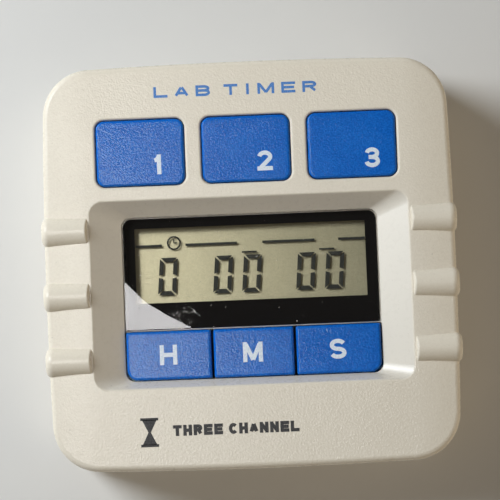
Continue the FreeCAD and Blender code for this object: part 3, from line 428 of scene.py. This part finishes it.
silicone = make_dull("silicone", (0.62, 0.62, 0.59), (0.52, 0.52, 0.50), 0.6, 1.2, 0.02)
carbon_rubber = make_dull("carbon_rubber", (0.02, 0.02, 0.02), (0.035, 0.035, 0.035), 0.7, 0.5, 0.02)
epoxy = make_dull("epoxy", (0.012, 0.012, 0.013), (0.025, 0.025, 0.025), 0.18, 2.0, 0.03)
ceramic_chip = make_dull("ceramic_chip", (0.46, 0.36, 0.24), (0.58, 0.50, 0.38), 0.5, 0.4, 0.01)
ferrite = make_dull("ferrite", (0.05, 0.05, 0.052), (0.085, 0.082, 0.08), 0.42, 1.1, 0.03)
white_ceramic = make_dull("white_ceramic", (0.78, 0.78, 0.75), (0.66, 0.66, 0.63), 0.3, 0.8, 0.01)
cell_sleeve = make_dull("cell_sleeve", (0.05, 0.055, 0.065), (0.08, 0.085, 0.10), 0.25, 3.0, 0.02)
white_plastic = make_dull("white_plastic", (0.74, 0.74, 0.72), (0.68, 0.68, 0.65), 0.5, 2.0, 0.02)
elastomer = make_dull("elastomer", (0.46, 0.30, 0.34), (0.36, 0.22, 0.27), 0.6, 0.6, 0.02)
paper_label = make_dull("paper_label", (0.74, 0.73, 0.69), (0.66, 0.64, 0.59), 0.55, 0.3, 0.008)


# %% Circuit board material
BARE_GREEN = (0.012, 0.085, 0.035)
TRACK_GREEN = (0.045, 0.21, 0.08)


def make_circuit_board():
    """Green solder mask: paler where it covers a track, darker over bare laminate."""
    paint = Paint("circuit_board", **{"Specular IOR Level": 0.5})
    wander = {"Scale": 0.35, "Distortion": 5.0, "Detail": 1.0, "Detail Scale": 0.4}
    bands = paint.number("ShaderNodeTexWave", {"bands_direction": "DIAGONAL"},
                         {"Vector": paint.place(), **wander}, "Fac")
    track = paint.step(bands, 0.62, 0.68)
    colour = paint.blend(track, BARE_GREEN, TRACK_GREEN)
    weave = paint.noise(0.5, detail=1.0)
    paint.feed(Base_Color=colour, Roughness=0.25 + weave * 0.15)
    return paint.relief(track * 0.8 + weave * 0.2, 0.03).material


circuit_board = make_circuit_board()
print("materials:", len(bpy.data.materials))

# %% [markdown]
# ## Dress the CAD nodes
#
# A CAD node keeps its mesh and only gets a material in its slot. The record says which finish each node has,
# so the table below goes from the record's slot to the material made above. The rear glass is the exception.
# Real glass bends light, so the reflector glued behind it looks a third nearer than it is. The clear layers
# here don't bend light, so the rear glass itself shows the reflector's finish, at the depth where it appears.

# %% Assign the materials
finishes = {
    "case_plastic": case_plastic,
    "key_plastic": key_plastic,
    "window_plastic": window_clear,
    "black_film": black_film,
    "display_glass": display_glass,
    "display_film": display_film,
    "reflector_film": reflector_film,
    "white_plastic": white_plastic,
    "silicone": silicone,
    "carbon_rubber": carbon_rubber,
    "circuit_board": circuit_board,
    "gold_contact": gold,
    "epoxy": epoxy,
    "steel": steel,
    "nickel_steel": nickel,
    "ceramic_chip": ceramic_chip,
    "ferrite": ferrite,
    "copper_wire": copper,
    "sounder_brass": brass,
    "white_ceramic": white_ceramic,
    "cell_sleeve": cell_sleeve,
    "paper_label": paper_label,
    "elastomer": elastomer,
}


def dress(thing, material):
    """Gives a thing one material and no other."""
    thing.data.materials.clear()
    thing.data.materials.append(material)


for row in frame["record"]["subparts"]:
    dress(frame["nodes"][row["node"]], finishes[row["material_slot"]])
dress(frame["nodes"]["lcd_rear_glass"], reflector_film)

# %% [markdown]
# ## Tools for modelling
#
# Operators act on whatever is selected, so each step starts by clearing the selection. `only` selects and
# activates one object, and `settle` bakes its place into its mesh, because a finished piece sits at the
# origin as the CAD nodes do.

# %% Selection helpers
def only(thing):
    """Makes one object the only selected one, and the active one."""
    if bpy.context.object and bpy.context.object.mode == "EDIT":
        bpy.ops.object.mode_set(mode="OBJECT")
    bpy.ops.object.select_all(action="DESELECT")
    thing.select_set(True)
    bpy.context.view_layer.objects.active = thing


def settle(thing):
    """Bakes an object's place, turn and scale into its mesh."""
    only(thing)
    bpy.ops.object.transform_apply(location=True, rotation=True, scale=True)
    return thing


def join(name, things):
    """Joins meshes into the first one and names it."""
    only(things[0])
    for thing in things:
        thing.select_set(True)
    if len(things) > 1:
        bpy.ops.object.join()
    joined = bpy.context.object
    joined.name = name
    joined.data.name = name
    return joined


def finish_piece(thing, material, body):
    """Dresses a finished piece and lets it ride on a CAD body."""
    dress(thing, material)
    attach(thing, body)
    faces = len(thing.data.polygons)
    print(f"{thing.name}: {faces} faces on {body}")


# %% [markdown]
# ## Printing
#
# The lettering is plain: strokes of one width, as a bold sign-writer's alphabet has. Each letter is drawn as
# the middle lines of its strokes. A middle line becomes a low ribbon, and Solidify widens the ribbon to the
# stroke, with mitred corners. The ink stands a hair above the plastic, and the ink on a key rides on it.

# %% The alphabet
ARC_STEP = 15                  # degrees between the points of a bowl


def arc(x, y, rx, ry, start, end):
    """Points on an ellipse between two angles in degrees, one about every ARC_STEP."""
    count = max(2, round(abs(end - start) / ARC_STEP))
    turns = [math.radians(start + (end - start) * i / count) for i in range(count + 1)]
    return [(x + rx * math.cos(turn), y + ry * math.sin(turn)) for turn in turns]


STEM = [(0, 0), (0, 1)]
UPPER_BOWL = [(0, 1), *arc(0.62, 0.76, 0.38, 0.24, 90, -90), (0, 0.52)]
# The middle lines of each letter's strokes, in a box one unit wide and one unit high
LETTERS = {
    "1": [[(0.05, 0.76), (0.45, 0.81), (0.72, 0.98)], [(0.80, 0), (0.80, 1.0)]],
    "2": [[*arc(0.5, 0.74, 0.48, 0.26, 172, -40), (0.12, 0.05)], [(0.0, 0.0), (1.0, 0.0)]],
    "3": [[*arc(0.5, 0.76, 0.45, 0.24, 170, -90), (0.38, 0.52)],
          [(0.45, 0.52), *arc(0.5, 0.26, 0.5, 0.26, 90, -172)]],
    "A": [[(0, 0), (0.47, 1)], [(0.53, 1), (1, 0)], [(0.2, 0.3), (0.8, 0.3)]],
    "B": [STEM, UPPER_BOWL, [(0, 0.52), *arc(0.68, 0.26, 0.36, 0.26, 90, -90), (0, 0)]],
    "C": [arc(0.55, 0.5, 0.55, 0.5, 42, 318)],
    "E": [STEM, [(0, 1), (1, 1)], [(0, 0.5), (0.9, 0.5)], [(0, 0), (1, 0)]],
    "H": [STEM, [(1, 0), (1, 1)], [(0, 0.5), (1, 0.5)]],
    "I": [[(0.5, 0), (0.5, 1)]],
    "L": [[(0, 1), (0, 0), (1, 0)]],
    "M": [STEM, [(1, 0), (1, 1)], [(0.06, 1), (0.5, 0.0)], [(0.94, 1), (0.5, 0.0)]],
    "N": [STEM, [(1, 0), (1, 1)], [(0.03, 1), (0.97, 0)]],
    "R": [STEM, UPPER_BOWL, [(0.55, 0.5), (1, 0)]],
    "S": [[*arc(0.5, 0.75, 0.48, 0.25, 22, 270), *arc(0.5, 0.25, 0.5, 0.25, 75, -160)]],
    "T": [[(0.5, 0), (0.5, 1)], [(0, 1), (1, 1)]],
}
INK = 0.02                     # thickness of a printed coat, in millimetres
COAT_STEP = 0.0015             # each stroke of a letter lies this much higher than the one before
WORD_WIDTHS = {"M": 1.2, "I": 0.4}     # in a word, the letters that aren't one letter wide
SPACE = 0.5                    # width of a space, in letters


# %% One stroke of ink
def stroke(points, z, width):
    """Widens a middle line, in millimetres, to a stroke lying on the height z."""
    path = bpy.data.curves.new("stroke", "CURVE")
    path.dimensions = "3D"
    path.extrude = INK / 2 * MM
    line = path.splines.new("POLY")
    line.points.add(len(points) - 1)
    for point, (x, y) in zip(line.points, points):
        point.co = (x * MM, y * MM, (z + INK / 2) * MM, 1.0)
    ribbon = bpy.data.objects.new("stroke", path)
    bpy.context.scene.collection.objects.link(ribbon)
    only(ribbon)
    bpy.ops.object.convert(target="MESH")
    widen = ribbon.modifiers.new("widen", "SOLIDIFY")
    widen.thickness = width * MM
    widen.offset = 0.0
    widen.use_even_offset = True
    bpy.ops.object.modifier_apply(modifier=widen.name)
    bpy.ops.object.shade_flat()
    return ribbon


def letter(sign, x, y, z, width, height, weight):
    """The strokes of one letter, its lower left corner at x, y."""
    inner_width, inner_height = width - weight, height - weight
    made = []
    for level, line in enumerate(LETTERS[sign]):
        points = [(x + weight / 2 + u * inner_width, y + weight / 2 + v * inner_height) for u, v in line]
        points = run_on(points, weight / 2)
        made.append(stroke(points, z + level * COAT_STEP, weight))
    return made


def run_on(points, distance):
    """Lengthens an upright or level end of a line, so that strokes meet in square corners."""
    points = list(points)
    for end, inner in ((0, 1), (-1, -2)):
        (x, y), (inner_x, inner_y) = points[end], points[inner]
        if x == inner_x or y == inner_y:
            length = math.hypot(x - inner_x, y - inner_y)
            points[end] = (x + (x - inner_x) / length * distance, y + (y - inner_y) / length * distance)
    return points


def word(name, text, left, base, z, height, width, weight, gap):
    """A line of text from its lower left corner."""
    strokes = []
    x = left
    for sign in text:
        if sign == " ":
            x += width * SPACE
            continue
        broad = width * WORD_WIDTHS.get(sign, 1.0)
        strokes += letter(sign, x, base, z, broad, height, weight)
        x += broad + gap
    print(f"{name}: {left:.1f} to {x - gap:.1f} mm")
    return join(name, strokes)


# %% Numerals and letters on the keys
GLYPH_W, GLYPH_H, GLYPH_WEIGHT = 2.6, 3.35, 0.70
GLYPH_WIDTHS = {"M": 1.28, "H": 1.12, "S": 1.08, "1": 0.66}    # those that aren't GLYPH_W wide
CHANNEL_GLYPHS = {"key_channel_1": ("1", -15.0, 17.25), "key_channel_2": ("2", 3.1, 17.2),
                  "key_channel_3": ("3", 21.1, 17.0)}
SETTING_GLYPHS = {"key_hours": ("H", -14.4, -14.7), "key_minutes": ("M", -0.2, -14.75),
                  "key_seconds": ("S", 14.1, -14.8)}


def key_glyph(node, sign, x, y):
    """Prints one sign on a key, centred at x, y."""
    width = GLYPH_W * GLYPH_WIDTHS.get(sign, 1.0)
    top = mm(node)[1].z
    strokes = letter(sign, x - width / 2, y - GLYPH_H / 2, top, width, GLYPH_H, GLYPH_WEIGHT)
    finish_piece(join("ink_" + node, strokes), white_ink, node)


for node, (sign, x, y) in {**CHANNEL_GLYPHS, **SETTING_GLYPHS}.items():
    key_glyph(node, sign, x, y)

# %% Words on the case
heading = word("ink_heading", "LAB TIMER", -15.2, 28.5, FACE_Z,
               height=1.85, width=2.35, weight=0.44, gap=1.2)
finish_piece(heading, blue_ink, "housing")
footer = word("ink_footer", "THREE CHANNEL", -14.0, -28.35, FACE_Z,
              height=1.8, width=1.45, weight=0.56, gap=0.27)
finish_piece(footer, black_ink, "housing")

# %% [markdown]
# ## A pictogram beside the footer
#
# A small hourglass says what the object does without any letters. It is a thin plate, cut across the middle
# so that the cut's points can be drawn in to make the waist, with a bar above and below.

# %% Hourglass pictogram
HOURGLASS_BAR = 0.44           # height of the bars
HOURGLASS_BODY = 0.82          # width of the body over the bars' width
HOURGLASS_INSET = 0.1          # how far the body stops short of the whole height, at each end
HOURGLASS_WAIST = 0.16         # width of the waist over the body's width
NEAR = 0.01                    # a point this near a place, in millimetres, is at it


def flat_bar(x, y, z):
    """A thin plate from three (low, high) pairs in millimetres."""
    bpy.ops.object.select_all(action="DESELECT")
    centre = [(low + high) / 2 * MM for low, high in (x, y, z)]
    bpy.ops.mesh.primitive_cube_add(size=1.0, location=centre)
    bar = bpy.context.object
    bar.scale = [(high - low) * MM for low, high in (x, y, z)]
    return settle(bar)


def select_where(thing, test):
    """In edit mode, selects the vertices whose place in millimetres passes the test."""
    bpy.ops.object.mode_set(mode="EDIT")
    bpy.ops.mesh.select_mode(type="VERT")
    bpy.ops.mesh.select_all(action="DESELECT")
    bpy.ops.object.mode_set(mode="OBJECT")
    for vertex in thing.data.vertices:
        vertex.select = bool(test(vertex.co / MM))
    bpy.ops.object.mode_set(mode="EDIT")


def around(middle, half):
    """The low and the high end of a stretch, from its middle and half its length."""
    return middle - half, middle + half


def hourglass(x, y, z, width, height):
    """The pictogram as one mesh, centred at x, y."""
    ink_z = (z, z + INK)
    bars = [flat_bar(around(x, width / 2), around(y + side * height / 2, HOURGLASS_BAR / 2), ink_z)
            for side in (-1, 1)]
    body = flat_bar(around(x, width / 2 * HOURGLASS_BODY), around(y, height / 2 - HOURGLASS_INSET), ink_z)
    only(body)
    bpy.ops.object.mode_set(mode="EDIT")
    bpy.ops.mesh.select_all(action="SELECT")
    bpy.ops.mesh.bisect(plane_co=(x * MM, y * MM, z * MM), plane_no=(0, 1, 0))
    bpy.ops.object.mode_set(mode="OBJECT")
    select_where(body, lambda place: abs(place.y - y) < NEAR)
    bpy.ops.transform.resize(value=(HOURGLASS_WAIST, 1, 1))
    bpy.ops.object.mode_set(mode="OBJECT")
    return join("ink_hourglass", [body, *bars])


finish_piece(hourglass(-17.9, -27.6, FACE_Z, 3.0, 4.4), black_ink, "housing")

# %% [markdown]
# ## The display's segments
#
# A seven-segment digit is made of bars with mitred ends, so that neighbours meet at the corners with a thin
# gap of equal width. One bar is a plate whose outer edge is longer than its inner edge. The digits lean by
# five degrees, and because no operator shears without a window, the lean is applied to the finished mesh.

# %% One mitred bar
SEGMENT = 0.72                 # width of a bar
GAP = 0.09                     # what a bar stops short at each end
CORNER_MITRE = (SEGMENT + 0.05, 0.09)      # what its inner and outer edge stop short at a corner,
MIDDLE_MITRE = (0.26, 0.08)                # and half-way up the side of a digit
DIGIT_W, DIGIT_H = 3.05, 6.35
LEAN = math.tan(math.radians(5.0))
SEGMENT_Z = (front_glass_low.z + 0.30, front_glass_low.z + 0.33)


def bar(start, end, inner_side, mitres):
    """A plate from start to end; each mitre is how far its inner and its outer edge stop short."""
    (x0, y0), (x1, y1) = start, end
    along = 0 if abs(x1 - x0) > abs(y1 - y0) else 1
    outer = (y0, x0)[along]
    inner = outer + inner_side * SEGMENT
    across = sorted((outer, inner))
    length = ((x0, x1), (y0, y1))[along]
    length = (length[0] + GAP, length[1] - GAP)
    plate = flat_bar(*((length, across) if along == 0 else (across, length)), SEGMENT_Z)
    for end_at, mitre, toward in zip(length, mitres, (1, -1)):
        for edge_at, short in zip((inner, outer), mitre):
            corner = (edge_at, end_at)
            only(plate)
            select_where(plate, lambda place: math.dist((place[1 - along], place[along]), corner) < NEAR)
            move = [0, 0, 0]
            move[along] = toward * short * MM
            bpy.ops.transform.translate(value=move)
            bpy.ops.object.mode_set(mode="OBJECT")
    return plate


# %% Digits
def zero(x, y):
    """The six lit bars of a nought, centred at x, y."""
    left, right = x - DIGIT_W / 2, x + DIGIT_W / 2
    low, high = y - DIGIT_H / 2, y + DIGIT_H / 2
    level = (CORNER_MITRE, CORNER_MITRE)
    plates = [bar((left, low), (right, low), 1, level), bar((left, high), (right, high), -1, level)]
    for side_x, inner in ((left, 1), (right, -1)):
        plates.append(bar((side_x, low), (side_x, y), inner, (CORNER_MITRE, MIDDLE_MITRE)))
        plates.append(bar((side_x, y), (side_x, high), inner, (MIDDLE_MITRE, CORNER_MITRE)))
    digit = join("digit", plates)
    shear = Matrix.Identity(4)
    shear[0][1] = LEAN
    shear[0][3] = -LEAN * y * MM
    digit.data.transform(shear)
    return digit


DIGIT_Y = -1.35
DIGIT_X = (-14.1, -4.75, 0.15, 9.3, 14.15)
digits = join("lcd_digits", [zero(x, DIGIT_Y) for x in DIGIT_X])
finish_piece(digits, segment_dark, "housing")

# %% [markdown]
# ## Channel lines and the clock sign
#
# Above the digits run the lines that mark which channel is shown, two short ones a little lower down, and a
# small round clock sign that lights while a channel counts. The ring is a thin torus of square section, and
# the hands are two bars.

# %% Lines and the clock sign
LINE_Y = around(3.9, 0.21)
SMALL_LINE_Y = around(2.3, 0.14)
LINES = [(-19.4, -14.95), (-10.95, -2.2), (2.1, 10.95), (14.95, 19.45)]
SMALL_LINES = [(-1.45, 1.1), (11.65, 14.25)]
RING = 0.14                    # half the width of the clock sign's ring
RING_FLAT = 0.3                # its height over its width
HAND = 0.09                    # half the width of a hand
HAND_TAIL = 0.05               # how far a hand reaches past the middle
LONG_HAND, SHORT_HAND = 0.68, 0.55     # lengths over the ring's radius


def lcd_lines():
    """The plates of all the lines."""
    plates = [flat_bar(x, LINE_Y, SEGMENT_Z) for x in LINES]
    plates += [flat_bar(x, SMALL_LINE_Y, SEGMENT_Z) for x in SMALL_LINES]
    return plates


def clock_sign(x, y, radius):
    """A ring and two hands, centred at x, y."""
    bpy.ops.object.select_all(action="DESELECT")
    z = (SEGMENT_Z[0] + SEGMENT_Z[1]) / 2
    bpy.ops.mesh.primitive_torus_add(
        location=(x * MM, y * MM, z * MM), major_radius=radius * MM, minor_radius=RING * MM,
        major_segments=40, minor_segments=4)
    ring = bpy.context.object
    ring.scale = (1, 1, RING_FLAT)
    settle(ring)
    hands = [flat_bar(around(x, HAND), (y - HAND_TAIL, y + radius * LONG_HAND), SEGMENT_Z),
             flat_bar((x - HAND_TAIL, x + radius * SHORT_HAND), around(y, HAND), SEGMENT_Z)]
    return [ring, *hands]


signs = join("lcd_signs", lcd_lines() + clock_sign(-12.9, 4.3, 1.05))
finish_piece(signs, segment_dark, "housing")

# %% [markdown]
# ## Floor, card and light
#
# The floor is plain and pale. It can't be seen from below and holds back no lamp, so the timer's back can be
# looked at by the light of a lamp under the floor, which the view from above doesn't show. A soft cool lamp
# from the upper left gives the shape, and weak warm ones from the right and the front open the shadows.
#
# The satin reflector of a display sends back more light than a plain diffuse surface, and more on one side. A
# small lamp that lights only the display stands for that gain, and the border and the digits cast their
# shadows in it. A white card stands where the window mirrors it, because a window only reads as one when
# something bright is mirrored in a part of it.

# %% Floor
FLOOR_SIZE = 4.0               # metres
FLOOR_Z = -0.02                # just under the timer, in millimetres
FLOOR_COLOURS = ((0.70, 0.69, 0.67), (0.74, 0.73, 0.71))


def make_floor():
    """A pale plane that is clear when it is seen from below."""
    bpy.ops.object.select_all(action="DESELECT")
    bpy.ops.mesh.primitive_plane_add(size=FLOOR_SIZE, location=(0, 0, FLOOR_Z * MM))
    floor = bpy.context.object
    floor.name = "floor"
    paint = Paint("floor_paint", **{"Roughness": 0.85, "Specular IOR Level": 0.2})
    tone = paint.noise(60.0, detail=2.0)
    paint.feed(Base_Color=paint.blend(tone, *FLOOR_COLOURS))
    clear = paint.node("ShaderNodeBsdfTransparent", {}, {})
    below = paint.node("ShaderNodeNewGeometry", {}, {}).outputs["Backfacing"]
    sockets = {0: below, 1: paint.shader.outputs[0], 2: clear.outputs[0]}
    mixed = paint.node("ShaderNodeMixShader", {}, sockets)
    paint.tree.links.new(mixed.outputs[0], paint.output.inputs["Surface"])
    dress(floor, paint.material)
    floor.visible_shadow = False


make_floor()


# %% Lamps and world
TIMER_MIDDLE = (0.0, 0.0, 0.015)
DISPLAY_LEFT = (-0.019, 0.0, 0.0127)
# name: place and width in metres, power in watts, colour
LAMPS = {
    "key_light": ((-0.29, 0.15, 0.255), 0.20, 1.74, (0.91, 0.96, 1.0)),
    "right_fill": ((0.56, -0.10, 0.15), 0.4, 0.95, (1.0, 0.85, 0.63)),
    "front_fill": ((-0.05, -0.55, 0.34), 0.5, 0.22, (1.0, 0.87, 0.70)),
    "below_fill": ((-0.14, -0.30, -0.45), 0.4, 0.9, (1.0, 0.97, 0.93)),
}
DISPLAY_GAIN = ((-0.075, 0.066, 0.088), 0.04, 1.42, (0.97, 0.97, 1.0))
DISPLAY_GAIN_CONE = math.radians(25)
WORLD_COLOUR, WORLD_STRENGTH = (1.0, 0.90, 0.78, 1.0), 0.10


def lamp(name, target, place, size, power, colour, kind="AREA"):
    """A soft lamp at a place, turned to a target."""
    data = bpy.data.lights.new(name, kind)
    if kind == "AREA":
        data.shape = "DISK"
        data.size = size
    else:
        data.shadow_soft_size = size / 2
    data.energy = power
    data.color = colour
    light = bpy.data.objects.new(name, data)
    bpy.context.scene.collection.objects.link(light)
    light.location = place
    light.rotation_euler = (Vector(target) - Vector(place)).to_track_quat("-Z", "Y").to_euler()
    return light


for name, settings in LAMPS.items():
    lamp(name, TIMER_MIDDLE, *settings)
display_gain = lamp("display_gain", DISPLAY_LEFT, *DISPLAY_GAIN, kind="SPOT")
display_gain.data.spot_size = DISPLAY_GAIN_CONE
display_gain.data.spot_blend = 1.0
display_only = bpy.data.collections.new("display_only")
display_only.objects.link(frame["nodes"]["lcd_rear_glass"])
display_gain.light_linking.receiver_collection = display_only
world = bpy.data.worlds.new("world")
bpy.context.scene.world = world
world.use_nodes = True
world.node_tree.nodes["Background"].inputs["Color"].default_value = WORLD_COLOUR
world.node_tree.nodes["Background"].inputs["Strength"].default_value = WORLD_STRENGTH
bpy.context.scene.view_settings.view_transform = "Standard"
bpy.context.scene.cycles.transparent_max_bounces = 24    # in and out through the display's clear layers
print("lights ready")


# %% Card that the window mirrors
CARD_Z = 0.470                 # metres above the floor, as are all the card's measures
CARD_EDGE = [(-0.022, 0.088), (-0.024, 0.062), (-0.044, 0.052), (-0.057, 0.046), (-0.057, 0.0330),
             (-0.049, 0.0262), (-0.042, 0.0188), (-0.034, 0.0135), (-0.0265, 0.0095), (-0.0195, 0.004),
             (-0.016, 0.000)]
CARD_FAR_CORNERS = [(-0.014, -0.070), (-0.170, -0.070), (-0.170, 0.088)]
CARD_GLOW, CARD_COLOUR = 14.0, (1.0, 0.98, 0.98, 1.0)


def make_card():
    """A card beside the camera: its mirror image covers the window's lower left corner."""
    outline = bpy.data.curves.new("card_outline", "CURVE")
    outline.dimensions = "2D"
    outline.fill_mode = "BOTH"
    line = outline.splines.new("POLY")
    corners = CARD_EDGE + CARD_FAR_CORNERS
    line.points.add(len(corners) - 1)
    for point, (x, y) in zip(line.points, corners):
        point.co = (x, y, 0.0, 1.0)
    line.use_cyclic_u = True
    card = bpy.data.objects.new("white_card", outline)
    bpy.context.scene.collection.objects.link(card)
    only(card)
    bpy.ops.object.convert(target="MESH")
    card = bpy.context.object
    card.location.z = CARD_Z
    paint = Paint("card_paint", **{"Base Color": (0.0, 0.0, 0.0)})
    paint.shader.inputs["Emission Color"].default_value = CARD_COLOUR
    paint.shader.inputs["Emission Strength"].default_value = CARD_GLOW
    dress(card, paint.material)
    card.visible_camera = False
    card.visible_diffuse = False
    card.visible_shadow = False
    card.visible_transmission = False


make_card()
